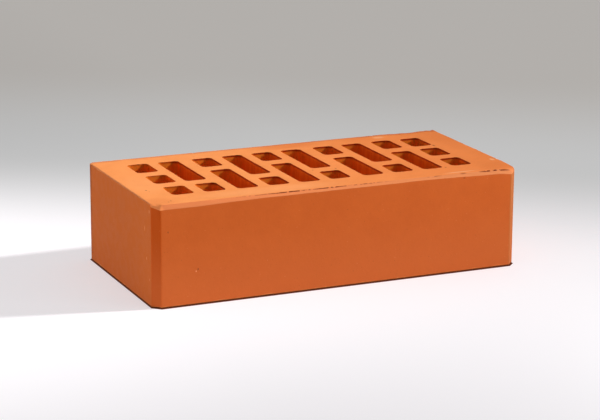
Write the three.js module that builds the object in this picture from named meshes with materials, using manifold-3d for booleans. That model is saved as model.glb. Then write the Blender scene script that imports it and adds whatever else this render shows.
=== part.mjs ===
// Cored clay facing brick, one fired piece.
// Millimetres, +Z up. The origin is the centre of the lower bed face.
// X runs along the stretcher face, Y from that face (-Y) to the back, Z from bed to bed.
// The clay column leaves the die along Z, so the outline and every core run straight
// through the height, and wire cuts make the two bed faces.

import * as THREE from 'three';
import { mergeVertices } from 'three/addons/utils/BufferGeometryUtils.js';
import Module from 'manifold-3d';

// Fired size of the whole unit.
const length = 250;
const width = 120;
const height = 65;

// Corners of the outline, as the die mouth shapes them.
const faceCornerCut = 4.4;
const backCornerRadius = 2.5;

// Edges of the bed faces: a pressed flat along the top of the stretcher face, and a
// small round on all the others.
const faceEdgeCut = 2.2;
const bedEdgeRadius = 1.1;

// Cores. Walls stand between the outermost cores and the outline, webs between cores.
const leftWall = 19.4;
const rightWall = 22.3;
const frontWall = 20.3;
const backWall = 17.1;
const coreWidth = 14.2;
const coreCornerRadius = 3;
const thinWeb = 6.9;
const crossWeb = 9.5;

// A core in the back row is this much longer than one in the other two rows.
const backRowExtra = 2.4;
const rowCount = 3;

// The spare length goes into two wide webs, after these columns counted from the left.
const wideWebAfter = [2, 6];

// Faces on a quarter circle at the corners and at the rounded edges.
const cornerSteps = 6;
const edgeSteps = 3;

// How far a cutting body stands clear of the surface that it cuts.
const clear = 5;

const firedClay = new THREE.MeshStandardMaterial({
  name: 'fired_clay',
  color: new THREE.Color('#c4632f'),
  roughness: 0.85,
  metalness: 0,
});

const manifoldLibrary = await Module();
manifoldLibrary.setup();

// A closed three.js geometry as a solid that can be cut.
function solidFrom(geometry) {
  geometry.deleteAttribute('normal');
  geometry.deleteAttribute('uv');
  const merged = mergeVertices(geometry);
  const mesh = new manifoldLibrary.Mesh({
    numProp: 3,
    vertProperties: new Float32Array(merged.attributes.position.array),
    triVerts: new Uint32Array(merged.index.array),
  });
  return new manifoldLibrary.Manifold(mesh);
}

// A solid as a flat-shaded geometry for a mesh.
function geometryFrom(solid) {
  const mesh = solid.getMesh();
  const indexed = new THREE.BufferGeometry();
  indexed.setAttribute('position', new THREE.BufferAttribute(mesh.vertProperties, mesh.numProp));
  indexed.setIndex(new THREE.BufferAttribute(mesh.triVerts, 1));
  const geometry = indexed.toNonIndexed();
  geometry.computeVertexNormals();
  return geometry;
}

// Rectangle with rounded corners, from its left, front, right and back sides.
function roundedRectangle(path, left, front, right, back, radius) {
  const quarter = Math.PI / 2;
  path.moveTo(left + radius, front);
  path.lineTo(right - radius, front);
  path.absarc(right - radius, front + radius, radius, -quarter, 0);
  path.lineTo(right, back - radius);
  path.absarc(right - radius, back - radius, radius, 0, quarter);
  path.lineTo(left + radius, back);
  path.absarc(left + radius, back - radius, radius, quarter, 2 * quarter);
  path.lineTo(left, front + radius);
  path.absarc(left + radius, front + radius, radius, 2 * quarter, 3 * quarter);
  return path;
}

// Outline of the clay column: cut corners beside the stretcher face, round ones behind.
function columnOutline() {
  const right = length / 2;
  const back = width / 2;
  const shape = new THREE.Shape();
  shape.moveTo(-right + faceCornerCut, -back);
  shape.lineTo(right - faceCornerCut, -back);
  shape.lineTo(right, -back + faceCornerCut);
  shape.lineTo(right, back - backCornerRadius);
  shape.absarc(right - backCornerRadius, back - backCornerRadius, backCornerRadius, 0, Math.PI / 2);
  shape.lineTo(-right + backCornerRadius, back);
  shape.absarc(-right + backCornerRadius, back - backCornerRadius, backCornerRadius, Math.PI / 2, Math.PI);
  shape.lineTo(-right, -back + faceCornerCut);
  shape.closePath();
  return shape;
}

// Columns of cores across the length, as the left side of each. As many go in as the
// walls and thin webs leave room for, and what is left over widens the wide webs.
function columnStarts() {
  const room = length - leftWall - rightWall;
  const count = Math.floor((room + thinWeb) / (coreWidth + thinWeb));
  const spare = room - count * coreWidth - (count - 1) * thinWeb;
  const usedWideWebs = wideWebAfter.filter((column) => column < count);
  const wideWeb = thinWeb + spare / usedWideWebs.length;
  const starts = [-length / 2 + leftWall];
  for (let column = 1; column < count; column += 1) {
    const web = usedWideWebs.includes(column) ? wideWeb : thinWeb;
    starts.push(starts[column - 1] + coreWidth + web);
  }
  return starts;
}

// Rows of cores from front to back, each as the place of its front and back sides.
function rowSpans() {
  const room = width - frontWall - backWall - (rowCount - 1) * crossWeb;
  const depth = (room - backRowExtra) / rowCount;
  const spans = [];
  let front = -width / 2 + frontWall;
  for (let row = 0; row < rowCount; row += 1) {
    const back = front + depth + (row === rowCount - 1 ? backRowExtra : 0);
    spans.push({ front, back });
    front = back + crossWeb;
  }
  return spans;
}

// The two end columns have a short core in each row. Between them, a long core takes two
// rows, by turns the back two and the front two, and a short one takes the row left over.
function coresOfColumn(column, count, rows) {
  const [frontRow, middleRow, backRow] = rows;
  if (column === 0 || column === count - 1) {
    return rows;
  }
  if (column % 2 === 1) {
    return [frontRow, { front: middleRow.front, back: backRow.back }];
  }
  return [{ front: frontRow.front, back: middleRow.back }, backRow];
}

// The clay column cut to height, with its bed edges rounded inside the outline.
function clayColumn() {
  const geometry = new THREE.ExtrudeGeometry(columnOutline(), {
    depth: height - 2 * bedEdgeRadius,
    bevelThickness: bedEdgeRadius,
    bevelSize: bedEdgeRadius,
    bevelOffset: -bedEdgeRadius,
    bevelSegments: edgeSteps,
    curveSegments: cornerSteps,
  });
  return solidFrom(geometry.translate(0, 0, bedEdgeRadius));
}

// One bar of the die's bridge, which leaves a core behind it.
function coreBar(left, core) {
  const shape = new THREE.Shape();
  roundedRectangle(shape, left, core.front, left + coreWidth, core.back, coreCornerRadius);
  const geometry = new THREE.ExtrudeGeometry(shape, {
    depth: height + 2 * clear,
    bevelEnabled: false,
    curveSegments: cornerSteps,
  });
  return solidFrom(geometry.translate(0, 0, -clear));
}

function allCoreBars() {
  const rows = rowSpans();
  const starts = columnStarts();
  const bars = starts.map((left, column) => (
    coresOfColumn(column, starts.length, rows).map((core) => coreBar(left, core))
  ));
  return bars.flat();
}

// The bar of clay that the pressed flat takes off the top edge of the stretcher face.
function faceEdgeBar() {
  const front = -width / 2;
  const section = new THREE.Shape();
  section.moveTo(front - clear, height - faceEdgeCut - clear);
  section.lineTo(front + faceEdgeCut + clear, height + clear);
  section.lineTo(front - clear, height + clear);
  section.closePath();
  const barLength = length + 2 * clear;
  const geometry = new THREE.ExtrudeGeometry(section, { depth: barLength, bevelEnabled: false });
  const alongX = new THREE.Matrix4().makeBasis(
    new THREE.Vector3(0, 1, 0),
    new THREE.Vector3(0, 0, 1),
    new THREE.Vector3(1, 0, 0),
  );
  geometry.applyMatrix4(alongX);
  return solidFrom(geometry.translate(-barLength / 2, 0, 0));
}

function brickSolid() {
  const cutters = [faceEdgeBar(), ...allCoreBars()];
  return cutters.reduce((solid, cutter) => solid.subtract(cutter), clayColumn());
}

const brick = new THREE.Mesh(geometryFrom(brickSolid()), firedClay);
brick.name = 'brick_body';

const part = new THREE.Group();
part.name = 'clay_brick';
part.add(brick);

export default part;
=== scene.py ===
import math
from functools import partial

import bpy
import numpy as np
from mathutils import Matrix, Vector
from mathutils.geometry import delaunay_2d_cdt


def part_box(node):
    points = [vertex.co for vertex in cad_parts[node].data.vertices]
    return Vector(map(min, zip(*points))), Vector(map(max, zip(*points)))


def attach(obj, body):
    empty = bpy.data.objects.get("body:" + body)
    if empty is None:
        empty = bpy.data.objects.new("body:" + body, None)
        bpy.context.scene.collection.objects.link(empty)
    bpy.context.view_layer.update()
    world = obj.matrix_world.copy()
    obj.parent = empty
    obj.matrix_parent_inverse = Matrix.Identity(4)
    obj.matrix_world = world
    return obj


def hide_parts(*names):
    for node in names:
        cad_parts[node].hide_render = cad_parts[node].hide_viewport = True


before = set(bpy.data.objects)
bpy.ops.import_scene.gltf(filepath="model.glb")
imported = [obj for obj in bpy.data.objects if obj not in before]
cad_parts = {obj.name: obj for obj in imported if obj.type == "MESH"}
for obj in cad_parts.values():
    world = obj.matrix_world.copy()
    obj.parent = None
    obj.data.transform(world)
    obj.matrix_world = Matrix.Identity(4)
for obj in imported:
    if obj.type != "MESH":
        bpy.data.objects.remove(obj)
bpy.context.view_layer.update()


# ==== The brick: plan of the clay column ==============================================
# One piece of fired clay. Stiff clay is pushed through a die along Z, and bars in the die
# leave the cores, so the outline and the cores run straight through from bed to bed.
# All lengths in the brick's sections are millimetres, and the mesh is scaled at the end.

MM = 0.001
low_corner, high_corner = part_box("brick_body")
length, width, height = [float(side) / MM for side in (high_corner - low_corner)]
half_length = length / 2
half_width = width / 2

face_corner_cut = 4.4
cut_corner_radius = 0.6
back_corner_radius = 2.0

left_wall = 19.4
right_wall = 22.3
front_wall = 20.3
back_wall = 17.1
core_width = 14.2
core_corner_radius = 3.0
thin_web = 6.9
cross_web = 9.5
back_row_extra = 2.4
wide_web_after = (2, 6)
core_columns = 10

core_wander = {
    # column and row of the cores that the die bars let wander, shift along X and Y
    (1, "front"): (1.4, 0.6),
    (1, "middle"): (1.0, 0.7),
    (1, "back"): (0.3, 0.7),
    (2, "front"): (1.5, 0.6),
    (9, "back"): (1.1, 0.2),
    (10, "front"): (0.6, 1.4),
    (10, "middle"): (0.8, 0.8),
    (10, "back"): (1.1, -0.9),
}

outline_step = 1.0
core_step = 1.1
fewest_corner_pieces = 3


def rounded_loop(corners, radii, step):
    """Points round an anticlockwise polygon with round corners, and the outward side of each."""
    corners = [np.array(corner, float) for corner in corners]
    count = len(corners)
    arcs = []
    for k, here in enumerate(corners):
        along_in = here - corners[k - 1]
        along_out = corners[(k + 1) % count] - here
        along_in /= np.linalg.norm(along_in)
        along_out /= np.linalg.norm(along_out)
        turn = math.acos(np.clip(along_in @ along_out, -1, 1))
        start = here - along_in * radii[k] * math.tan(turn / 2)
        centre = start + np.array([-along_in[1], along_in[0]]) * radii[k]
        first = math.atan2(-along_in[0], along_in[1])
        pieces = max(fewest_corner_pieces, round(radii[k] * turn / step))
        angles = first + turn * np.arange(pieces + 1) / pieces
        outward = np.stack([np.cos(angles), np.sin(angles)], 1)
        arcs.append((centre + outward * radii[k], outward))
    points = []
    sides = []
    for k, (arc, outward) in enumerate(arcs):
        points.extend(arc)
        sides.extend(outward)
        run = arcs[(k + 1) % count][0][0] - arc[-1]
        pieces = max(1, round(np.linalg.norm(run) / step))
        for piece in range(1, pieces):
            points.append(arc[-1] + run * piece / pieces)
            sides.append(outward[-1])
    return np.array(points), np.array(sides)


def core_sides():
    """Left, front, right and back side of every core, column by column."""
    room = length - left_wall - right_wall
    spare = room - core_columns * core_width - (core_columns - 1) * thin_web
    wide_web = thin_web + spare / len(wide_web_after)
    depth = (width - front_wall - back_wall - 2 * cross_web - back_row_extra) / 3
    front = (-half_width + front_wall, -half_width + front_wall + depth)
    middle = (front[1] + cross_web, front[1] + cross_web + depth)
    back = (middle[1] + cross_web, half_width - back_wall)
    sides = []
    left = -half_length + left_wall
    for column in range(1, core_columns + 1):
        if column in (1, core_columns):
            spans = {"front": front, "middle": middle, "back": back}
        elif column % 2 == 0:
            spans = {"front": front, "long": (middle[0], back[1])}
        else:
            spans = {"long": (front[0], middle[1]), "back": back}
        for row, span in spans.items():
            along, across = core_wander.get((column, row), (0, 0))
            sides.append((left + along, span[0] + across, left + core_width + along, span[1] + across))
        left += core_width + (wide_web if column in wide_web_after else thin_web)
    return sides


outline_corners = [
    (-half_length + face_corner_cut, -half_width),
    (half_length - face_corner_cut, -half_width),
    (half_length, -half_width + face_corner_cut),
    (half_length, half_width),
    (-half_length, half_width),
    (-half_length, -half_width + face_corner_cut),
]
outline_radii = [cut_corner_radius] * 3 + [back_corner_radius] * 2 + [cut_corner_radius]
outline, outline_air = rounded_loop(outline_corners, outline_radii, outline_step)

cores = core_sides()
core_loops = []
for left, front, right, back in cores:
    corners = [(left, front), (right, front), (right, back), (left, back)]
    loop, outward = rounded_loop(corners, [core_corner_radius] * 4, core_step)
    core_loops.append((loop, -outward))
all_loops = [(outline, outline_air)] + core_loops


# ==== The brick: the two cut beds =====================================================
# Wires cut the column into bricks, which leaves flat beds with crisp core mouths. The top
# of the stretcher face is pressed to an uneven flat while the clay is soft, which tears a
# thin lip along the bed. The other edges are only slightly worn.

flat_places = [
    # place along the stretcher face, reach of the flat into the bed, fall down the face
    (-125.0, 1.0, 1.2),
    (-120.6, 1.4, 2.8),
    (-92.0, 1.5, 2.65),
    (-74.0, 2.1, 2.1),
    (-50.0, 2.2, 1.75),
    (0.0, 2.2, 1.65),
    (60.0, 2.1, 1.4),
    (84.0, 2.1, 1.75),
    (98.0, 2.1, 2.2),
    (120.6, 2.0, 2.5),
    (125.0, 1.2, 1.3),
]
# Every unevenness has lumps of a size in millimetres, drawn from a seed: (size, seed).
flat_waver, flat_waver_lumps = 0.12, (6, 13)
flat_softness = 0.05
flat_arris_round = 0.16
flat_arris_width = 0.35
flat_fold = 0.5

tear_runs = [
    # middle of the torn run, half its length, how wide it gapes
    (-19, 66, 0.75),
    (-37, 13, 0.45),
    (-6, 7, 0.55),
    (20, 9, 0.30),
    (65, 8, 0.55),
    (86, 3, 0.70),
    (109, 15, 1.5),
]
tear_level, tear_most = 0.70, 1.3
short_tear_amount, short_tear_lumps = 0.95, (2.3, 11)
long_tear_amount, long_tear_lumps = 0.5, (7, 12)
tear_part = 0.84
tear_half_part = 0.15
tear_depth = 0.45
lip_part = 0.58
lip_half_part = 0.16
lip_height = 0.12

corner_wear = 1.5
corner_wear_length = 15.0
corner_wear_width = 14.0
corner_wear_power_along, corner_wear_power_across = 1.6, 1.2
back_wear = 0.8
back_wear_middle, back_wear_half_run, back_wear_width = 104.0, 21.0, 2.8
back_wear_level, back_wear_amount, back_wear_lumps = 0.75, 0.4, (5, 24)

top_edge_radius = 0.55
bottom_edge_radius = 0.9
mouth_radius = 0.22
edge_wear_amount, edge_wear_lumps = 0.55, (6, 21)
fine_wear_amount, fine_wear_lumps = 0.35, (2.5, 22)

top_insets = (0, 0.07, 0.22, 0.45, 0.8, 1.25)
flat_parts = (0.4, 0.52, 0.6, 0.68, 0.76, 0.84, 0.92, 1.0, 1.1, 1.25, 1.5, 1.9)
bottom_insets = (0, 0.3, 0.9)
last_inset_on_face = 3
faces_front_below = -0.3
ring_slack = 0.02
flat_ring_slack = 0.03
top_pitch = 1.2
bottom_pitch = 3.6
grid_gap_in_pitches = 0.45
grid_gap_behind_flat = 0.25
merge_distance = 1e-5
lattice_margin = 20


def clay_waves(points, size, seed):
    """Smooth unevenness from -1 to 1, with lumps of about this size along X, Y and Z."""
    size = np.broadcast_to(np.array(size, float), (3,))
    cells = (points + (half_length + lattice_margin, half_width + lattice_margin, lattice_margin)) / size
    base = np.floor(cells).astype(int)
    part = cells - base
    part = part * part * (3 - 2 * part)
    reach = np.ceil((np.array([length, width, height]) + 2 * lattice_margin) / size).astype(int) + 2
    lattice = np.random.default_rng(seed).uniform(-1, 1, reach)
    total = np.zeros(len(points))
    for corner in np.ndindex(2, 2, 2):
        weight = np.prod(np.where(np.array(corner) == 1, part, 1 - part), axis=1)
        i, j, k = (base + corner).T
        total += weight * lattice[i, j, k]
    return total


def on_bed(plan, z=0.0):
    """Plan points as points in space."""
    return np.column_stack([plan, np.full(len(plan), z)])


def corner_depth(plan):
    """How far each plan point lies inside the slanting sides at the stretcher corners."""
    x, y = plan.T
    return (half_length + half_width - face_corner_cut - np.abs(x) + y) / math.sqrt(2)


def outline_depth(plan):
    """How far each plan point lies inside the straight sides of the outline."""
    x, y = plan.T
    return np.minimum.reduce([half_length - np.abs(x), half_width - np.abs(y), corner_depth(plan)])


def core_distance(plan):
    """How far each plan point lies outside the nearest core."""
    nearest = np.full(len(plan), np.inf)
    for left, front, right, back in cores:
        centre = np.array([left + right, front + back]) / 2
        reach = np.array([right - left, back - front]) / 2 - core_corner_radius
        beyond = np.abs(plan - centre) - reach
        outside = np.linalg.norm(np.maximum(beyond, 0), axis=1)
        inside = np.minimum(beyond.max(axis=1), 0)
        nearest = np.minimum(nearest, outside + inside - core_corner_radius)
    return nearest


def quarter_round(inset, radius):
    """Drop of a quarter-round edge below the bed, at this distance from the side."""
    left_over = np.clip(radius - inset, 0, radius)
    return radius - np.sqrt(radius ** 2 - left_over ** 2)


def hump(value, centre, half_width_of_hump):
    """Smooth bump from 0 at both ends to 1 at the centre."""
    part = np.clip(np.abs(value - centre) / half_width_of_hump, 0, 1)
    return (1 - part ** 2) ** 2


def along_face(x, size, seed):
    """Unevenness from -1 to 1 along the stretcher face."""
    return clay_waves(np.column_stack([x, np.zeros((len(x), 2))]), size, seed)


def along_flat(x, column):
    """One column of flat_places, read off at these places along the stretcher face."""
    return np.interp(x, [place[0] for place in flat_places], [place[column] for place in flat_places])


def flat_part(plan):
    """Where each plan point lies on the pressed flat: 0 at the face, 1 at the bed."""
    from_face = plan[:, 1] + half_width
    from_corner = corner_depth(plan)
    folded = (from_face + from_corner - np.hypot(from_face - from_corner, flat_fold)) / 2
    return np.maximum(folded, 0) / along_flat(plan[:, 0], 1)


def tear_gape(x):
    """How strongly the lip is torn along the stretcher face."""
    gape = np.zeros(len(x))
    for middle, half_run, strength in tear_runs:
        gape += strength * hump(x, middle, half_run)
    return gape


def tear_strength(x):
    """How wide the torn lip gapes along the stretcher face, from 0 to 1."""
    short_breaks = short_tear_amount * along_face(x, *short_tear_lumps)
    long_breaks = long_tear_amount * along_face(x, *long_tear_lumps)
    broken = np.clip(tear_level + short_breaks + long_breaks, 0, tear_most)
    return np.clip(tear_gape(x) * broken, 0, 1)


def pressed_flat(plan):
    """Drop of the flat along the top of the stretcher face, with its torn lip."""
    x = plan[:, 0]
    part = flat_part(plan)
    fall = along_flat(x, 2) + flat_waver * along_face(x, *flat_waver_lumps)
    left_over = 1 - part
    drop = fall * (left_over + np.sqrt(left_over ** 2 + flat_softness ** 2)) / 2
    inset = np.minimum(plan[:, 1] + half_width, corner_depth(plan))
    drop = drop + flat_arris_round * np.clip(1 - inset / flat_arris_width, 0, 1) ** 2
    torn = tear_strength(x)
    drop = drop + torn * tear_depth * hump(part, tear_part, tear_half_part)
    return drop - torn * lip_height * hump(part, lip_part, lip_half_part)


def worn_corner(plan):
    """Drop of the worn bed corner at the right end of the stretcher face."""
    along = np.clip((plan[:, 1] + half_width - corner_wear_length) / -corner_wear_length, 0, 1)
    across = np.clip((plan[:, 0] - half_length + corner_wear_width) / corner_wear_width, 0, 1)
    return corner_wear * along ** corner_wear_power_along * across ** corner_wear_power_across


def worn_back(plan):
    """Drop of the worn stretch of the bed edge at the back."""
    across = np.clip(1 - (half_width - plan[:, 1]) / back_wear_width, 0, 1)
    along = hump(plan[:, 0], back_wear_middle, back_wear_half_run)
    uneven = back_wear_level + back_wear_amount * clay_waves(on_bed(plan), *back_wear_lumps)
    return back_wear * across * along * uneven


def edge_drop(plan, top):
    """How far the bed lies below its own plane at each plan point."""
    worn = 1 + edge_wear_amount * clay_waves(on_bed(plan), *edge_wear_lumps)
    worn += fine_wear_amount * clay_waves(on_bed(plan), *fine_wear_lumps)
    edge_radius = (top_edge_radius if top else bottom_edge_radius) * worn
    drop = np.maximum(
        quarter_round(outline_depth(plan), edge_radius),
        quarter_round(core_distance(plan), mouth_radius * worn),
    )
    if top:
        drop = np.maximum(drop, pressed_flat(plan)) + worn_corner(plan) + worn_back(plan)
    return drop


def bed_plan(insets, parts_of_flat, pitch):
    """Plan points of one bed, its triangles, and the point numbers of each loop."""
    points = []
    rings = []
    for loop, air in all_loops:
        rings.append(np.arange(len(loop)) + sum(len(ring) for ring in rings))
        points.append(loop)
    by_face = outline_air[:, 1] < faces_front_below
    for inset in insets[1:]:
        for k, (loop, air) in enumerate(all_loops):
            ring = loop - air * inset
            clear = np.minimum(outline_depth(ring), core_distance(ring)) > inset - ring_slack
            if k == 0 and parts_of_flat and inset > insets[last_inset_on_face]:
                clear &= ~by_face
            points.append(ring[clear])
    for part in parts_of_flat:
        ring = outline - outline_air * (part * along_flat(outline[:, 0], 1))[:, None]
        least_depth = (part - flat_ring_slack) * along_flat(ring[:, 0], 1)
        clear = np.minimum(ring[:, 1] + half_width, corner_depth(ring)) > least_depth
        points.append(ring[by_face & clear])
    row = pitch * math.sqrt(3) / 2
    grid = np.array([
        (x + (line % 2) * pitch / 2, y)
        for line, y in enumerate(np.arange(-half_width, half_width, row))
        for x in np.arange(-half_length, half_length, pitch)
    ])
    reach = insets[-1] + pitch * grid_gap_in_pitches
    clear = np.minimum(outline_depth(grid), core_distance(grid)) > reach
    if parts_of_flat:
        clear &= flat_part(grid) > parts_of_flat[-1] + grid_gap_behind_flat
    points = np.concatenate(points + [grid[clear]])
    edges = []
    for ring in rings:
        edges += [(int(a), int(b)) for a, b in zip(ring, np.roll(ring, -1))]
    vectors = [Vector(point) for point in points]
    flat, _, triangles, sources, _, _ = delaunay_2d_cdt(vectors, edges, [], 0, merge_distance)
    number = np.zeros(len(points), int)
    for new, olds in enumerate(sources):
        number[olds] = new
    flat = np.array([tuple(point) for point in flat])
    triangles = np.array([tuple(triangle) for triangle in triangles])
    in_clay = core_distance(flat[triangles].mean(axis=1)) > 0
    return flat, triangles[in_clay], [number[ring] for ring in rings]


top_plan, top_triangles, top_rings = bed_plan(top_insets, flat_parts, top_pitch)
bottom_plan, bottom_triangles, bottom_rings = bed_plan(bottom_insets, (), bottom_pitch)
top_z = height - edge_drop(top_plan, True)
bottom_z = edge_drop(bottom_plan, False)


# ==== The brick: sides and core walls =================================================
# The die leaves a smooth skin on the four sides, and its bars leave the core walls. The
# wire drags a thin lip of clay over the core mouths, so the walls stand back below it. Shade
# is painted just under the lip on the back and right core walls, and the key lamp's light is
# painted on the upper left of each back wall. Each wall is made of rows of points.

side_rows = np.concatenate([
    (0, 0.35, 0.8, 1.4, 2.2, 3.2, 4.5),
    np.linspace(6.3, 58.4, 26),
    (60.2, 61.6, 62.7, 63.5, 64.1, 64.6, 65),
])
core_rows = np.array([
    0, 0.1, 0.16, 0.24, 0.4, 0.7, 1.0, 1.5, 2.2, 3.4, 5.5, 9, 14, 21, 30, 41, 52, 60, 64.2, 65,
])
lip_thickness = 0.16
lip_slope = 0.08
lip_overhang = 0.20
lip_level, lip_amount, lip_lumps = 0.8, 0.5, (3.5, 23)
near_lip_share = 0.3
overhang_ends = 12.0
lip_shade_at_depths = ((0.05, 0), (0.1, 1), (1.0, 1), (1.6, 0))
lip_shade_least = 0.25
lip_shade_least_until, lip_shade_most_from = -89, -70
light_patch_slope = 0.66
light_patch_softness = 2.0
lit_wall_sharpness, lit_wall_from = 2, 0.6
bed_share = 0.5

edge_band_width_ends, edge_band_width_back = 0.8, 3.4
edge_band_reach = 1.4
edge_band_level, edge_band_amount, edge_band_least = 0.75, 0.8, 0.3
edge_band_lumps = ((9, 9, 60), 34)
flat_ends, flat_fades_over = 1.08, 0.12
corner_flat_reach, corner_flat_width = 1.6, 1.4
slant_depth = 0.45
most_off_the_line = 2.0

top_count = len(top_plan)
layers = []


def add_layer(place, outward, cut_bed=0.0, core_wall=0.0, lip_shade=0.0, core_light_patch=0.0):
    """Keep some points, the way out to the air from each, and the clay's masks there, some of them
    painted shade and light.
    """
    masks = [np.broadcast_to(mask, len(place)) for mask in (cut_bed, core_wall, lip_shade, core_light_patch)]
    layers.append((place, outward, *masks))


straight_up = on_bed(np.zeros((top_count, 2)), 1.0)
straight_down = on_bed(np.zeros((len(bottom_plan), 2)), -1.0)
add_layer(np.column_stack([top_plan, top_z]), straight_up, cut_bed=1.0)
add_layer(np.column_stack([bottom_plan, bottom_z]), straight_down, cut_bed=1.0)
faces = [tuple(triangle) for triangle in top_triangles]
faces += [tuple(triangle[::-1] + top_count) for triangle in bottom_triangles]
vertex_count = top_count + len(bottom_plan)

for k, (loop, air) in enumerate(all_loops):
    rows = core_rows if k else side_rows
    upper_ring = top_rings[k]
    lower_ring = bottom_rings[k] + top_count
    high_z = top_z[top_rings[k]]
    low_z = bottom_z[bottom_rings[k]]
    is_core = float(k > 0)
    dragged = lip_overhang * (lip_level + lip_amount * clay_waves(on_bed(loop), *lip_lumps)) * is_core
    far_side = np.clip(-air[:, 0] - air[:, 1], 0, 1) * is_core
    dragged *= near_lip_share + (1 - near_lip_share) * far_side
    lip_shade_here = np.interp(loop[:, 0], (lip_shade_least_until, lip_shade_most_from), (lip_shade_least, 1))
    # The key lamp's light is painted on the upper left of each back wall, down to where its shadow line
    # falls.
    lit_wall = np.clip(-lit_wall_sharpness * air[:, 1] - lit_wall_from, 0, 1) * is_core
    light_patch_depth = light_patch_slope * (np.max(loop[:, 0]) - loop[:, 0])
    numbers = [upper_ring]
    for row in rows[1:-1]:
        z = high_z + (low_z - high_z) * row / height
        under_lip = np.clip((row - lip_thickness) / lip_slope, 0, 1)
        under_lip *= np.clip(1 - row / overhang_ends, 0, 1)
        wall = loop - air * (dragged * under_lip)[:, None]
        lip_shaded = lip_shade_here * np.interp(row, *zip(*lip_shade_at_depths))
        light_patched = lit_wall * np.clip((light_patch_depth - row) / light_patch_softness + 0.5, 0, 1)
        place = np.column_stack([wall, z])
        add_layer(place, on_bed(air), core_wall=is_core, lip_shade=far_side * lip_shaded, core_light_patch=light_patched)
        numbers.append(np.arange(len(loop)) + vertex_count)
        vertex_count += len(loop)
    numbers.append(lower_ring)
    for upper, lower in zip(numbers, numbers[1:]):
        around = [upper, lower, np.roll(lower, -1), np.roll(upper, -1)]
        if k:
            around.reverse()
        faces += [tuple(int(n) for n in quad) for quad in zip(*around)]

points, air, cut_bed, core_wall, lip_shade, core_light_patch = [np.concatenate(part) for part in zip(*layers)]
for k, (loop, loop_air) in enumerate(all_loops):
    for ring in (top_rings[k], bottom_rings[k] + top_count):
        air[ring] += on_bed(loop_air)
        cut_bed[ring] = bed_share
        core_wall[ring] = (1 - bed_share) * (k > 0)
air /= np.linalg.norm(air, axis=1)[:, None]
part_of_flat = flat_part(points[:, :2])
on_top = (cut_bed > 0) & (points[:, 2] > height / 2)
pressed = np.where(on_top, np.clip((flat_ends - part_of_flat) / flat_fades_over, 0, 1), 0)
torn = np.where(on_top, tear_gape(points[:, 0]), 0)
off_the_line = np.where(on_top, np.minimum(part_of_flat, most_off_the_line) - tear_part, 1.0)
# A darker, browner band along the back and end edges of the top bed, in patches.
edge_patches = np.clip(edge_band_level + edge_band_amount * clay_waves(points, *edge_band_lumps), edge_band_least, 1)
from_back = edge_band_width_ends / edge_band_width_back * (half_width - points[:, 1])
from_ends = half_length - np.abs(points[:, 0])
dark_edge_band = np.clip(edge_band_reach - np.minimum(from_back, from_ends) / edge_band_width_ends, 0, 1) * edge_patches
dark_edge_band = np.where(on_top, dark_edge_band * (1 - pressed), 0)
slanting = corner_depth(points[:, :2]) < slant_depth
at_left = points[:, 0] < 0
left_slant = (slanting & at_left).astype(float)
right_slant = (slanting & ~at_left).astype(float) * (1 - cut_bed)
flat_at_corner = np.clip(corner_flat_reach - corner_depth(points[:, :2]) / corner_flat_width, 0, 1)
flat_at_corner *= pressed * at_left


# ==== The brick: drying waves and handling chips ======================================
# Drying pulls the walls slightly out of true, and stacking knocks small chips off the
# arrises and the core mouths. Everything only takes clay away.

wave_depth, wave_lumps = 0.10, ((46, 46, 30), 31)
ripple_depth, ripple_lumps = 0.035, ((5, 5, 9), 32)
wall_wave_depth, wall_wave_lumps = 0.16, ((9, 9, 26), 33)
crisp_angle = 40

named_chips = [
    # position on the arris, way out to the air, radius, depth
    ((121.5, 60, 65), (0.2, 1, 1), 4.5, 1.3),
    ((117.5, 60, 65), (0, 1, 1), 2.6, 0.9),
    ((-52, 60, 65), (0, 1, 1), 3.0, 0.8),
    ((77.4, 60, 65), (0, 1, 1.2), 3.4, 0.9),
    ((125, -32.3, 65), (1, 0, 1), 3.0, 0.8),
    ((-125, 2, 65), (-1, 0, 1), 2.6, 0.7),
    ((-125, -35, 65), (-1, 0, 1), 3.0, 0.7),
    ((-124.4, 59.4, 65), (-1, 1, 1), 3.2, 1.1),
    ((123.5, -58.5, 0), (1, -1, -1), 5.0, 1.8),
    ((-122, -59, 0), (-1, -1, -1), 3.5, 1.2),
]
first_chip_seed = 100
bite_reach = 1.3
bite_roughness, bite_lump_size = 0.10, 1.7

nibble_seed = 71
first_nibble_seed = 200
top_nibbles = 70
bottom_nibbles = 60
mouth_nibbles = 90
nibble_radius = (0.9, 2.6)
nibble_slope = (0.7, 1.4)
mouth_nibble_depth = (0.12, 0.35)
edge_nibble_depth = (0.25, 0.6)
fully_chipped_depth = 0.3


def bite(points, centre, radius, seed):
    """Press a rough hollow into the clay, and say how deep each point was pressed."""
    offset = points - centre
    distance = np.linalg.norm(offset, axis=1)
    near = distance < radius * bite_reach
    rough = radius * (1 + bite_roughness * clay_waves(points[near], bite_lump_size, seed))
    pushed = np.maximum(rough - distance[near], 0)
    points[near] += offset[near] / distance[near][:, None] * pushed[:, None]
    deep = np.zeros(len(points))
    deep[near] = pushed
    return deep


waves = 0.5 + 0.5 * clay_waves(points, *wave_lumps)
ripple = 0.5 + 0.5 * clay_waves(points, *ripple_lumps)
wall_waves = 0.5 + 0.5 * clay_waves(points, *wall_wave_lumps)
sink = wave_depth * waves + ripple_depth * ripple + wall_wave_depth * wall_waves * core_wall
points -= air * sink[:, None]

chipped = np.zeros(len(points))
for k, (place, way, radius, depth) in enumerate(named_chips):
    way = np.array(way, float)
    way /= np.linalg.norm(way)
    centre = np.array(place) + way * (radius - depth)
    chipped = np.maximum(chipped, bite(points, centre, radius, first_chip_seed + k))

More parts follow.
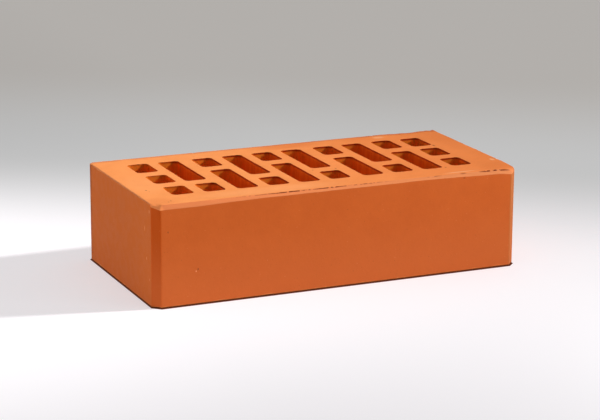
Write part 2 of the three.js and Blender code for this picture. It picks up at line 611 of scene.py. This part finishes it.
draw = np.random.default_rng(nibble_seed)
for kind, amount in (("top", top_nibbles), ("bottom", bottom_nibbles), ("mouth", mouth_nibbles)):
    for number in range(amount):
        loop, loop_air = all_loops[draw.integers(1, len(all_loops)) if kind == "mouth" else 0]
        at = draw.integers(len(loop))
        up = -1.0 if kind == "bottom" else 1.0
        way = np.array([*loop_air[at], up * draw.uniform(*nibble_slope)])
        way /= np.linalg.norm(way)
        radius = draw.uniform(*nibble_radius)
        bite_depth = draw.uniform(*(mouth_nibble_depth if kind == "mouth" else edge_nibble_depth))
        arris = np.array([*loop[at], height if up > 0 else 0.0])
        centre = arris + way * (radius - bite_depth)
        chipped = np.maximum(chipped, bite(points, centre, radius, first_nibble_seed + number))
chipped = np.clip(chipped / fully_chipped_depth, 0, 1)

lowest = np.array([-half_length, -half_width, 0])
points = np.clip(points, lowest, -lowest + (0, 0, height))

brick_mesh = bpy.data.meshes.new("brick")
brick_mesh.from_pydata((points * MM).tolist(), [], faces)
brick_mesh.shade_smooth()
brick_mesh.set_sharp_from_angle(angle=math.radians(crisp_angle))
clay_masks = {
    "cut_bed": cut_bed,
    "core_wall": core_wall,
    "chipped": chipped,
    "torn": torn,
    "off_the_tear": off_the_line,
    "pressed": pressed,
    "left_slant": left_slant * (1 - pressed),
    "right_slant": right_slant,
    "flat_at_corner": flat_at_corner,
    "lip_shade": lip_shade,
    "core_light_patch": core_light_patch,
    "dark_edge_band": dark_edge_band,
}
for name, values in clay_masks.items():
    mask = brick_mesh.attributes.new(name, "FLOAT", "POINT")
    mask.data.foreach_set("value", values.astype(np.float32))
brick = bpy.data.objects.new("brick", brick_mesh)
bpy.context.scene.collection.objects.link(brick)


# ==== The brick: fired clay ===========================================================
# Iron in the clay fires to orange red. The die skin is dense and even, the cut beds are
# paler and more open, and the core walls are darker and streaked by the core bars. The
# beds' greyish paleness is partly painted sheen, most of it at the left end.

skin_colour = (0.618, 0.1230, 0.0215, 1)
skin_deep_colour = (0.588, 0.1130, 0.0190, 1)
header_shade_colour = (0.555, 0.127, 0.0162, 1)
bed_colour = (0.850, 0.296, 0.090, 1)
bed_deep_colour = (0.800, 0.268, 0.077, 1)
bed_right_colour = (0.890, 0.256, 0.068, 1)
bed_right_deep_colour = (0.840, 0.232, 0.058, 1)
core_colour = (0.710, 0.120, 0.0058, 1)
core_pale_colour = (0.780, 0.152, 0.0100, 1)
core_light_patch_colour = (0.690, 0.185, 0.0150, 1)
chip_colour = (0.78, 0.250, 0.090, 1)
pressed_colour = (0.705, 0.205, 0.0690, 1)
pressed_right_light_colour = (0.705, 0.232, 0.0820, 1)
pressed_corner_light_colour = (0.950, 0.290, 0.0880, 1)
left_slant_shade_colour = (0.590, 0.088, 0.0072, 1)
right_slant_sheen_colour = (0.500, 0.146, 0.0390, 1)
lip_shade_colour = (0.360, 0.034, 0.0020, 1)
edge_band_colour = (0.560, 0.170, 0.0700, 1)
stain_colour = (0.620, 0.135, 0.0300, 1)
floor_bounce_colour = (0.670, 0.158, 0.0440, 1)
tear_shade_colour = (0.150, 0.018, 0.0040, 1)
foot_shade_colour = (0.055, 0.010, 0.003, 1)
corner_shade_colour = (0.220, 0.062, 0.0240, 1)
dark_grit_colour = (0.20, 0.050, 0.018, 1)
pale_grit_colour = (0.96, 0.470, 0.230, 1)

specks = [
    # position, size, how much paler (+) or darker (-)
    ((-115.7, -22.3, 65), (0.9, 1.3, 1), -0.75),
    ((-114.9, -26.0, 65), (0.7, 1.0, 1), -0.4),
    ((-112.8, -53.6, 65), (0.7, 0.9, 1), -0.6),
    ((-110.5, -51.6, 65), (0.7, 0.9, 1), -0.7),
    ((-115.6, -60, 47.8), (0.6, 1, 0.9), -0.6),
    ((-96.3, -60, 22.5), (0.6, 1, 1.0), -0.75),
    ((-97.6, -60, 21.3), (0.5, 1, 0.8), 0.6),
    ((86.1, -60, 62.1), (1.0, 1, 0.6), -0.6),
    ((-45, -50, 65), (62, 10, 3), 0.16),
    ((-113, -8, 65), (14, 28, 3), 0.10),
    ((79.5, 52.5, 65), (5.5, 3.6, 2), 0.55),
    ((121.0, -32.5, 65), (2.0, 3.4, 2), 0.8),
    ((86, -54.8, 65), (15, 1.6, 2), 0.65),
    ((103.7, 17.0, 65), (0.9, 2.8, 2), -0.8),
    ((91.5, 11.3, 65), (2.4, 1.1, 2), -0.45),
    ((82.8, -40.3, 65), (0.8, 1.3, 1), -0.6),
    ((0.6, -14.1, 65), (0.8, 1.0, 1), -0.6),
    ((16.1, -15.7, 65), (0.9, 1.0, 1), -0.7),
    ((-125, -44.3, 47.4), (1, 0.5, 2.4), 0.5),
    ((-125, -47.2, 29.2), (1, 0.5, 1.4), 0.6),
    ((-125, -52.6, 59.9), (1, 0.6, 1.6), 0.5),
    ((-125, -52.0, 16.8), (1, 0.5, 1.2), 0.4),
]

cloud_size, fine_cloud_size, fine_cloud_share = 26, 5.5, 0.4
cloud_from, cloud_to = 0.35, 0.65
streak_size, streak_stretch = 3.5, (1, 1, 9)
streak_from, streak_to = 0.35, 0.68
side_from, side_full = -0.4, -0.7
header_shade_strength = 0.7
right_tone_from, right_tone_to = -80, 110
floor_bounce_height, floor_bounce_strength = 55, 0.5
corner_shade_from, corner_shade_to, corner_shade_strength = 52.5, 59.2, 0.72
corner_shade_cloud_from, corner_shade_cloud_to, corner_shade_least = 0.1, 0.75, 0.45
off_back_from, off_back_full = -0.05, -0.55
stain_cloud_from, stain_cloud_to, stain_least = 0.1, 0.8, 0.6
spot_edge, spot_full = 1.0, 0.35
edge_band_strength, chip_strength = 0.85, 0.6
foot_shade_ends, foot_shade_full, foot_shade_strength = 1.2, 0.5, 0.93
underside_from, underside_to = -0.998, -0.98

tear_fades, tear_full = 0.20, 0.10
tear_waver, tear_waver_size = 0.16, 3.0
tear_dash, tear_dash_detail = 2.6, 3.0
tear_break_from, tear_break_to = 0.40, 0.54

grit_size, grit_detail = 0.9, 1.0
dark_grit_from, dark_grit_full, dark_grit_strength = 0.745, 0.80, 0.4
pale_grit_from, pale_grit_full, pale_grit_strength = 0.25, 0.20, 0.20
smoothest, roughest, rougher_on_bed = 0.60, 0.70, 0.12
clay_shine = 0.06
fine_grain_size, coarse_grain_size, coarse_grain_amount = 0.45, 1.6, 1.5
relief_strength, relief_height = 0.35, 0.12

stains = [
    # position, size, how strongly the clay is stained
    ((-119, -52, 65), (16, 14, 9), 0.25),
    ((119, -49, 65), (20, 16, 9), 0.20),
    ((12, 54, 65), (30, 11, 9), 0.40),
    ((119, 22, 65), (12, 30, 9), 0.12),
    ((62, 55, 65), (20, 7, 9), 0.20),
    ((104, 60, 65), (26, 8, 9), 0.85),
    ((123, 60, 65), (9, 9, 9), 1.0),
]

fired_clay = bpy.data.materials.new("fired_clay")
fired_clay.use_nodes = True
clay_nodes = fired_clay.node_tree.nodes
clay_links = fired_clay.node_tree.links
clay_shader = clay_nodes["Principled BSDF"]
clay_place = clay_nodes.new("ShaderNodeTexCoord").outputs["Object"]


def clay_mask(name):
    """One of the masks kept on the brick's points."""
    node = clay_nodes.new("ShaderNodeAttribute")
    node.attribute_name = name
    return node.outputs["Fac"]


def node_sum(tree, kind, first, second, clamp=False):
    """A sum, product or other reckoning on two values or numbers, in a material or the world."""
    node = tree.nodes.new("ShaderNodeMath")
    node.operation = kind
    node.use_clamp = clamp
    for socket, value in zip(node.inputs, (first, second)):
        if isinstance(value, (int, float)):
            socket.default_value = value
        else:
            tree.links.new(value, socket)
    return node.outputs[0]


def node_ramp(tree, value, start, end, low=0.0, high=1.0, kind="SMOOTHSTEP"):
    """Stretch the part of a value between start and end to low and high."""
    node = tree.nodes.new("ShaderNodeMapRange")
    node.interpolation_type = kind
    tree.links.new(value, node.inputs["Value"])
    for name, number in (("From Min", start), ("From Max", end), ("To Min", low), ("To Max", high)):
        node.inputs[name].default_value = number
    return node.outputs["Result"]


clay_sum = partial(node_sum, fired_clay.node_tree)
clay_ramp = partial(node_ramp, fired_clay.node_tree)


def clay_noise(size, detail=2.0, stretch=(1, 1, 1)):
    """Cloudy unevenness from 0 to 1, with lumps of about this size in millimetres."""
    spread = clay_nodes.new("ShaderNodeMapping")
    spread.inputs["Scale"].default_value = [1 / (size * MM * part) for part in stretch]
    clay_links.new(clay_place, spread.inputs["Vector"])
    noise = clay_nodes.new("ShaderNodeTexNoise")
    noise.inputs["Scale"].default_value = 1.0
    noise.inputs["Detail"].default_value = detail
    clay_links.new(spread.outputs["Vector"], noise.inputs["Vector"])
    return noise.outputs["Fac"]


def clay_blend(amount, first, second):
    """One colour over another, by a mask."""
    node = clay_nodes.new("ShaderNodeMix")
    node.data_type = "RGBA"
    clay_links.new(amount, node.inputs["Factor"])
    for socket, colour in ((node.inputs[6], first), (node.inputs[7], second)):
        if isinstance(colour, tuple):
            socket.default_value = colour
        else:
            clay_links.new(colour, socket)
    return node.outputs[2]


def clay_spot(place, size, strength):
    """A soft round spot at this place and of this size in millimetres."""
    shift = clay_nodes.new("ShaderNodeVectorMath")
    shift.operation = "SUBTRACT"
    shift.inputs[1].default_value = [c * MM for c in place]
    clay_links.new(clay_place, shift.inputs[0])
    squeeze = clay_nodes.new("ShaderNodeVectorMath")
    squeeze.operation = "DIVIDE"
    squeeze.inputs[1].default_value = [c * MM for c in size]
    clay_links.new(shift.outputs["Vector"], squeeze.inputs[0])
    away = clay_nodes.new("ShaderNodeVectorMath")
    away.operation = "LENGTH"
    clay_links.new(squeeze.outputs["Vector"], away.inputs[0])
    return clay_ramp(away.outputs["Value"], spot_edge, spot_full, 0.0, strength)


on_cut_bed = clay_mask("cut_bed")
in_core = clay_mask("core_wall")
chips = clay_mask("chipped")
torn_run = clay_mask("torn")
off_the_tear = clay_mask("off_the_tear")
on_flat = clay_mask("pressed")
on_left_slant = clay_mask("left_slant")
on_right_slant = clay_mask("right_slant")
on_flat_corner = clay_mask("flat_at_corner")
lip_shades = clay_mask("lip_shade")
light_patch_in_core = clay_mask("core_light_patch")
dark_edge_bands = clay_mask("dark_edge_band")

clay_at = clay_nodes.new("ShaderNodeSeparateXYZ")
clay_links.new(clay_place, clay_at.inputs["Vector"])
clay_surface = clay_nodes.new("ShaderNodeNewGeometry")
faces_way = clay_nodes.new("ShaderNodeSeparateXYZ")
clay_links.new(clay_surface.outputs["Normal"], faces_way.inputs["Vector"])

cloud = clay_ramp(clay_noise(cloud_size), cloud_from, cloud_to)
fine_cloud = clay_ramp(clay_noise(fine_cloud_size), cloud_from, cloud_to)
cloud_part = clay_sum("MULTIPLY", cloud, 1 - fine_cloud_share)
fine_cloud_part = clay_sum("MULTIPLY", fine_cloud, fine_cloud_share)
both_clouds = clay_sum("ADD", cloud_part, fine_cloud_part)
by_stretcher = clay_ramp(faces_way.outputs["Y"], side_from, side_full)
by_header = clay_ramp(faces_way.outputs["X"], side_from, side_full, 0.0, header_shade_strength)
by_side = clay_sum("MAXIMUM", by_stretcher, by_header)
to_the_right = clay_ramp(clay_at.outputs["X"], right_tone_from * MM, right_tone_to * MM)

skin = clay_blend(both_clouds, skin_deep_colour, skin_colour)
# The left end is painted a darker copy of the skin: painted shade of the end that faces away from the
# key lamp.
skin = clay_blend(by_header, skin, header_shade_colour)
# The left slanting corner is painted darker and redder than the skin: painted shade.
skin = clay_blend(on_left_slant, skin, left_slant_shade_colour)
# The right slanting corner is painted a greyer copy of the skin: painted sheen.
skin = clay_blend(on_right_slant, skin, right_slant_sheen_colour)
# The front and left end are painted paler towards the bottom: painted light bounced up from the floor.
floor_bounce = clay_ramp(clay_at.outputs["Z"], floor_bounce_height * MM, 0.0, 0.0, floor_bounce_strength)
skin = clay_blend(clay_sum("MULTIPLY", floor_bounce, by_side), skin, floor_bounce_colour)
# The left end is painted darker towards its back corner: painted shade where the rounded corner turns
# away from the light.
corner_shade = clay_ramp(clay_at.outputs["Y"], corner_shade_from * MM, corner_shade_to * MM, 0.0, corner_shade_strength)
corner_shade_patches = clay_ramp(both_clouds, corner_shade_cloud_from, corner_shade_cloud_to, corner_shade_least, 1.0)
off_the_back = clay_ramp(faces_way.outputs["X"], off_back_from, off_back_full)
corner_shade = clay_sum("MULTIPLY", clay_sum("MULTIPLY", corner_shade, corner_shade_patches), off_the_back)
skin = clay_blend(corner_shade, skin, corner_shade_colour)

# The bed is painted paler and greyer to the left and deeper to the right: painted sheen.
bed_left = clay_blend(both_clouds, bed_deep_colour, bed_colour)
bed_right = clay_blend(both_clouds, bed_right_deep_colour, bed_right_colour)
bed = clay_blend(to_the_right, bed_left, bed_right)
stain_clouds = clay_ramp(both_clouds, stain_cloud_from, stain_cloud_to, stain_least, 1.0)
for place, size, strength in stains:
    stain = clay_sum("MULTIPLY", clay_spot(place, size, strength), stain_clouds)
    bed = clay_blend(stain, bed, stain_colour)
# The flat is painted paler towards the right end: painted light where the key lamp's pool fades.
pressed_clay = clay_blend(to_the_right, pressed_colour, pressed_right_light_colour)
# The flat at the left slanting corner is painted paler: painted light where the key lamp doesn't reach.
pressed_clay = clay_blend(on_flat_corner, pressed_clay, pressed_corner_light_colour)

streaks = clay_noise(streak_size, 2.0, streak_stretch)
core = clay_blend(clay_ramp(streaks, streak_from, streak_to), core_colour, core_pale_colour)
# Painted key light on the back walls of the cores.
core = clay_blend(light_patch_in_core, core, core_light_patch_colour)

clay = clay_blend(on_cut_bed, skin, bed)
clay = clay_blend(clay_sum("MULTIPLY", dark_edge_bands, edge_band_strength), clay, edge_band_colour)
clay = clay_blend(on_flat, clay, pressed_clay)
clay = clay_blend(in_core, clay, core)
# Shade is painted just under the lip of the back and right core walls.
clay = clay_blend(lip_shades, clay, lip_shade_colour)
clay = clay_blend(clay_sum("MULTIPLY", chips, chip_strength), clay, chip_colour)

# The crack under the torn lip is painted dark: painted shade in the crevice.
tear_wander = clay_sum("SUBTRACT", clay_noise(tear_waver_size), 0.5)
tear_wander = clay_sum("MULTIPLY", tear_wander, tear_waver)
off_line = clay_sum("ABSOLUTE", clay_sum("ADD", off_the_tear, tear_wander), 0.0)
tear_line = clay_ramp(off_line, tear_fades, tear_full)
tear_breaks = clay_ramp(clay_noise(tear_dash, tear_dash_detail), tear_break_from, tear_break_to)
tear_shade = clay_sum("MULTIPLY", clay_sum("MULTIPLY", torn_run, tear_breaks), tear_line, clamp=True)
clay = clay_blend(tear_shade, clay, tear_shade_colour)

# The lowest millimetre or so of the sides is painted dark: painted shade of the gap where the brick
# meets the floor.
foot_shade_ends_m, foot_shade_full_m = foot_shade_ends * MM, foot_shade_full * MM
foot_shade = clay_ramp(clay_at.outputs["Z"], foot_shade_ends_m, foot_shade_full_m, 0.0, foot_shade_strength)
off_the_underside = clay_ramp(faces_way.outputs["Z"], underside_from, underside_to)
clay = clay_blend(clay_sum("MULTIPLY", foot_shade, off_the_underside), clay, foot_shade_colour)

grit = clay_noise(grit_size, grit_detail)
dark_grit = clay_ramp(grit, dark_grit_from, dark_grit_full, 0.0, dark_grit_strength)
pale_grit = clay_ramp(grit, pale_grit_from, pale_grit_full, 0.0, pale_grit_strength)
clay = clay_blend(dark_grit, clay, dark_grit_colour)
clay = clay_blend(pale_grit, clay, pale_grit_colour)
for place, size, tone in specks:
    spot = clay_spot(place, size, abs(tone))
    clay = clay_blend(spot, clay, pale_grit_colour if tone > 0 else dark_grit_colour)
clay_links.new(clay, clay_shader.inputs["Base Color"])

roughness = clay_ramp(fine_cloud, 0.0, 1.0, smoothest, roughest)
rough_bed = clay_sum("MULTIPLY", on_cut_bed, rougher_on_bed)
roughness = clay_sum("ADD", roughness, rough_bed, clamp=True)
clay_links.new(roughness, clay_shader.inputs["Roughness"])
clay_shader.inputs["Specular IOR Level"].default_value = clay_shine

coarse_grain = clay_sum("MULTIPLY", clay_noise(coarse_grain_size), coarse_grain_amount)
grain = clay_sum("ADD", clay_noise(fine_grain_size), coarse_grain)
grain = clay_sum("ADD", grain, clay_sum("MULTIPLY", streaks, in_core))
relief = clay_nodes.new("ShaderNodeBump")
relief.inputs["Strength"].default_value = relief_strength
relief.inputs["Distance"].default_value = relief_height * MM
clay_links.new(grain, relief.inputs["Height"])
clay_links.new(relief.outputs["Normal"], clay_shader.inputs["Normal"])

brick.data.materials.append(fired_clay)
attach(brick, "root")
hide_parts("brick_body")


# ==== Floor ===========================================================================
# A plain sheet of pale paper under the brick, white round it and light grey towards the
# back. What is seen of it is partly a glow of its own, so the shadow on it stays light. The
# fade to grey towards the back and the brighter right side are painted falloff of light. It
# is painted dark under the brick and for a millimetre or two round its foot: painted shadow
# of the gap where the brick meets the floor.

floor_reach = 6.0
paper_white = (0.85, 0.83, 0.84, 1)
paper_back = (0.496, 0.868, 0)
# The glow is painted brighter towards the right, where the key lamp's pool of light fades.
seen_glow_left = 0.495
seen_glow_right = 0.56
glow_from, glow_to = -0.12, 0.13
seen_lit = 0.565
white_edge = 0.025
paper_roughness, paper_shine = 0.9, 0.1
gap_shadow_full, gap_shadow_ends = 0.0009, 0.0017
gap_shadow_colour = (0.140, 0.034, 0.015, 1)
end_gap_narrower, corner_gap_narrower = 1.9, 1.4
foot_half_length, foot_half_width = half_length * MM, half_width * MM
foot_front_corner_cut, foot_back_corner_cut = face_corner_cut * MM, 0.0015
# The fade to grey towards the back is painted falloff of light.
painted_falloff_tones = [
    # distance towards the back from the white edge in metres, colour seen there
    (0.0, (0.99, 0.965, 0.99, 1)),
    (0.25, (0.66, 0.66, 0.66, 1)),
    (0.60, (0.55, 0.525, 0.50, 1)),
]

floor_mesh = bpy.data.meshes.new("floor")
floor_mesh.from_pydata(
    [
        (-floor_reach, -floor_reach, 0),
        (floor_reach, -floor_reach, 0),
        (floor_reach, floor_reach, 0),
        (-floor_reach, floor_reach, 0),
    ],
    [],
    [(0, 1, 2, 3)],
)
floor = bpy.data.objects.new("floor", floor_mesh)
bpy.context.scene.collection.objects.link(floor)

paper = bpy.data.materials.new("pale_paper")
paper.use_nodes = True
paper_nodes = paper.node_tree.nodes
paper_links = paper.node_tree.links
paper_sum = partial(node_sum, paper.node_tree)
paper_ramp = partial(node_ramp, paper.node_tree)
paper_shader = paper_nodes["Principled BSDF"]
paper_shader.inputs["Base Color"].default_value = paper_white
paper_shader.inputs["Roughness"].default_value = paper_roughness
paper_shader.inputs["Specular IOR Level"].default_value = paper_shine

paper_place = paper_nodes.new("ShaderNodeTexCoord")
towards_back = paper_nodes.new("ShaderNodeVectorMath")
towards_back.operation = "DOT_PRODUCT"
towards_back.inputs[1].default_value = paper_back
paper_links.new(paper_place.outputs["Object"], towards_back.inputs[0])
past_edge = paper_sum("SUBTRACT", towards_back.outputs["Value"], white_edge)
tone_ramp = paper_nodes.new("ShaderNodeValToRGB")
tone_ramp.color_ramp.interpolation = "EASE"
for k, (distance, colour) in enumerate(painted_falloff_tones):
    stops = tone_ramp.color_ramp.elements
    stop = stops[k] if k < 2 else stops.new(distance)
    stop.position = distance
    stop.color = colour
paper_links.new(past_edge, tone_ramp.inputs["Fac"])

paper_at = paper_nodes.new("ShaderNodeSeparateXYZ")
paper_links.new(paper_place.outputs["Object"], paper_at.inputs["Vector"])
along = paper_sum("ABSOLUTE", paper_at.outputs["X"], 0.0)
past_end = paper_sum("SUBTRACT", along, foot_half_length)
past_back = paper_sum("SUBTRACT", paper_at.outputs["Y"], foot_half_width)
past_foot = paper_sum("MULTIPLY", paper_sum("MAXIMUM", past_end, past_back), end_gap_narrower)
past_front = paper_sum("SUBTRACT", -foot_half_width, paper_at.outputs["Y"])
past_foot = paper_sum("MAXIMUM", past_foot, past_front)
foot_corner = foot_half_length + foot_half_width
for out_of_corner, cut in (("SUBTRACT", foot_front_corner_cut), ("ADD", foot_back_corner_cut)):
    past_corner = paper_sum(out_of_corner, along, paper_at.outputs["Y"])
    past_corner = paper_sum("SUBTRACT", past_corner, foot_corner - cut)
    past_corner = paper_sum("MULTIPLY", past_corner, math.sqrt(0.5) * corner_gap_narrower)
    past_foot = paper_sum("MAXIMUM", past_foot, past_corner)
# Painted contact shadow: the paper is painted dark under the brick and just round its foot.
outside_gap_shadow = paper_ramp(past_foot, gap_shadow_full, gap_shadow_ends)
paper_tone = paper_nodes.new("ShaderNodeMix")
paper_tone.data_type = "RGBA"
paper_tone.inputs[6].default_value = gap_shadow_colour
paper_links.new(outside_gap_shadow, paper_tone.inputs["Factor"])
paper_links.new(tone_ramp.outputs["Color"], paper_tone.inputs[7])

glow = paper_nodes.new("ShaderNodeEmission")
paper_x = paper_at.outputs["X"]
glow_level = paper_ramp(paper_x, glow_from, glow_to, seen_glow_left, seen_glow_right, "LINEAR")
paper_links.new(glow_level, glow.inputs["Strength"])
paper_links.new(paper_tone.outputs[2], glow.inputs["Color"])
lit = paper_nodes.new("ShaderNodeBsdfDiffuse")
shade = paper_nodes.new("ShaderNodeVectorMath")
shade.operation = "SCALE"
shade.inputs["Scale"].default_value = seen_lit
paper_links.new(paper_tone.outputs[2], shade.inputs[0])
paper_links.new(shade.outputs["Vector"], lit.inputs["Color"])
seen_paper = paper_nodes.new("ShaderNodeAddShader")
paper_links.new(glow.outputs["Emission"], seen_paper.inputs[0])
paper_links.new(lit.outputs["BSDF"], seen_paper.inputs[1])

paper_ray = paper_nodes.new("ShaderNodeLightPath").outputs
paper_is_seen = paper_sum("MAXIMUM", paper_ray["Is Camera Ray"], paper_ray["Is Glossy Ray"])
paper_is_seen = paper_sum("MAXIMUM", paper_is_seen, paper_ray["Is Transmission Ray"])
paper_mix = paper_nodes.new("ShaderNodeMixShader")
paper_links.new(paper_is_seen, paper_mix.inputs["Fac"])
paper_links.new(paper_shader.outputs["BSDF"], paper_mix.inputs[1])
paper_links.new(seen_paper.outputs["Shader"], paper_mix.inputs[2])
paper_links.new(paper_mix.outputs["Shader"], paper_nodes["Material Output"].inputs["Surface"])
floor.data.materials.append(paper)


# ==== Studio surround =================================================================
# A plain grey room. A white card stands low on the left, and a little light comes from
# overhead.

room_grey = (0.43, 0.42, 0.405, 1)
room_light = (1, 1, 1, 1)
overhead_level = 0.62
card_degrees_from_x, card_height = 165, 0.30
card_brightness, card_sharpness = 8.6, 6

studio = bpy.data.worlds.new("studio")
bpy.context.scene.world = studio
studio.use_nodes = True
studio_nodes = studio.node_tree.nodes
studio_links = studio.node_tree.links
studio_sum = partial(node_sum, studio.node_tree)

way_out = studio_nodes.new("ShaderNodeTexCoord").outputs["Generated"]
split = studio_nodes.new("ShaderNodeSeparateXYZ")
studio_links.new(way_out, split.inputs["Vector"])
rise = studio_sum("MAXIMUM", split.outputs["Z"], 0.0)
overhead = studio_sum("MULTIPLY", rise, overhead_level)
low_band = studio_sum("SUBTRACT", 1.0, studio_sum("DIVIDE", rise, card_height), clamp=True)
card_turn = math.radians(card_degrees_from_x)
towards_card = studio_nodes.new("ShaderNodeVectorMath")
towards_card.operation = "DOT_PRODUCT"
towards_card.inputs[1].default_value = (math.cos(card_turn), math.sin(card_turn), 0)
studio_links.new(way_out, towards_card.inputs[0])
card = studio_sum("MAXIMUM", towards_card.outputs["Value"], 0.0)
card = studio_sum("MULTIPLY", studio_sum("POWER", card, card_sharpness), low_band)
card = studio_sum("MULTIPLY", card, card_brightness)
room = studio_sum("ADD", overhead, card)

studio_light = studio_nodes["Background"]
studio_light.inputs["Color"].default_value = room_light
studio_links.new(room, studio_light.inputs["Strength"])
studio_seen = studio_nodes.new("ShaderNodeBackground")
studio_seen.inputs["Color"].default_value = room_grey
studio_ray = studio_nodes.new("ShaderNodeLightPath").outputs
room_is_seen = studio_sum("MAXIMUM", studio_ray["Is Camera Ray"], studio_ray["Is Glossy Ray"])
room_is_seen = studio_sum("MAXIMUM", room_is_seen, studio_ray["Is Transmission Ray"])
studio_mix = studio_nodes.new("ShaderNodeMixShader")
studio_links.new(room_is_seen, studio_mix.inputs["Fac"])
studio_links.new(studio_light.outputs["Background"], studio_mix.inputs[1])
studio_links.new(studio_seen.outputs["Background"], studio_mix.inputs[2])
studio_links.new(studio_mix.outputs["Shader"], studio_nodes["World Output"].inputs["Surface"])


# ==== Lamps ===========================================================================
# One key lamp from the right, low enough to rake across the bed. Its pool of light is
# brightest at the left end of the brick and fades towards the right, so a small soft
# lamp low at the front right keeps the stretcher face even.

key_way = Vector((0.816, -0.207, 0.540))
key_distance = 3.0
key_aim = Vector((-0.45, 0.10, 0.05))
key_half_angle = 7.1
key_power = 640.0
key_edge_softness = 1.0
key_size = 0.12
key_data = bpy.data.lights.new("key", "SPOT")
key_data.energy = key_power
key_data.spot_size = math.radians(2 * key_half_angle)
key_data.spot_blend = key_edge_softness
key_data.shadow_soft_size = key_size
key = bpy.data.objects.new("key", key_data)
key.location = key_way * key_distance
key.rotation_mode = "QUATERNION"
key.rotation_quaternion = (key.location - key_aim).to_track_quat("Z", "Y")
key.visible_camera = False
bpy.context.scene.collection.objects.link(key)

fill_place = Vector((0.27, -0.37, 0.10))
fill_aim = Vector((0, 0, 0.04))
fill_power = 0.54
fill_size = 0.18
fill_data = bpy.data.lights.new("fill", "AREA")
fill_data.shape = "DISK"
fill_data.size = fill_size
fill_data.energy = fill_power
fill = bpy.data.objects.new("fill", fill_data)
fill.location = fill_place
fill.rotation_mode = "QUATERNION"
fill.rotation_quaternion = (fill_place - fill_aim).to_track_quat("Z", "Y")
fill.visible_camera = False
bpy.context.scene.collection.objects.link(fill)


# ==== Camera ==========================================================================
# A long lens stands a little above the brick and to the left of its stretcher face, and
# looks slightly down on it.

camera_lens = 133.29
camera_place = Vector((-0.5692, -1.2715, 0.4079))
camera_right = Vector((0.9138, -0.4061, 0.0057))
camera_up = Vector((0.1000, 0.2385, 0.9660))

camera_data = bpy.data.cameras.new("camera")
camera_data.lens = camera_lens
camera = bpy.data.objects.new("camera", camera_data)
camera_turn = Matrix((camera_right, camera_up, camera_right.cross(camera_up))).transposed()
camera.matrix_world = Matrix.Translation(camera_place) @ camera_turn.to_4x4()
bpy.context.scene.collection.objects.link(camera)
bpy.context.scene.camera = camera
bpy.context.scene.view_settings.view_transform = "Standard"
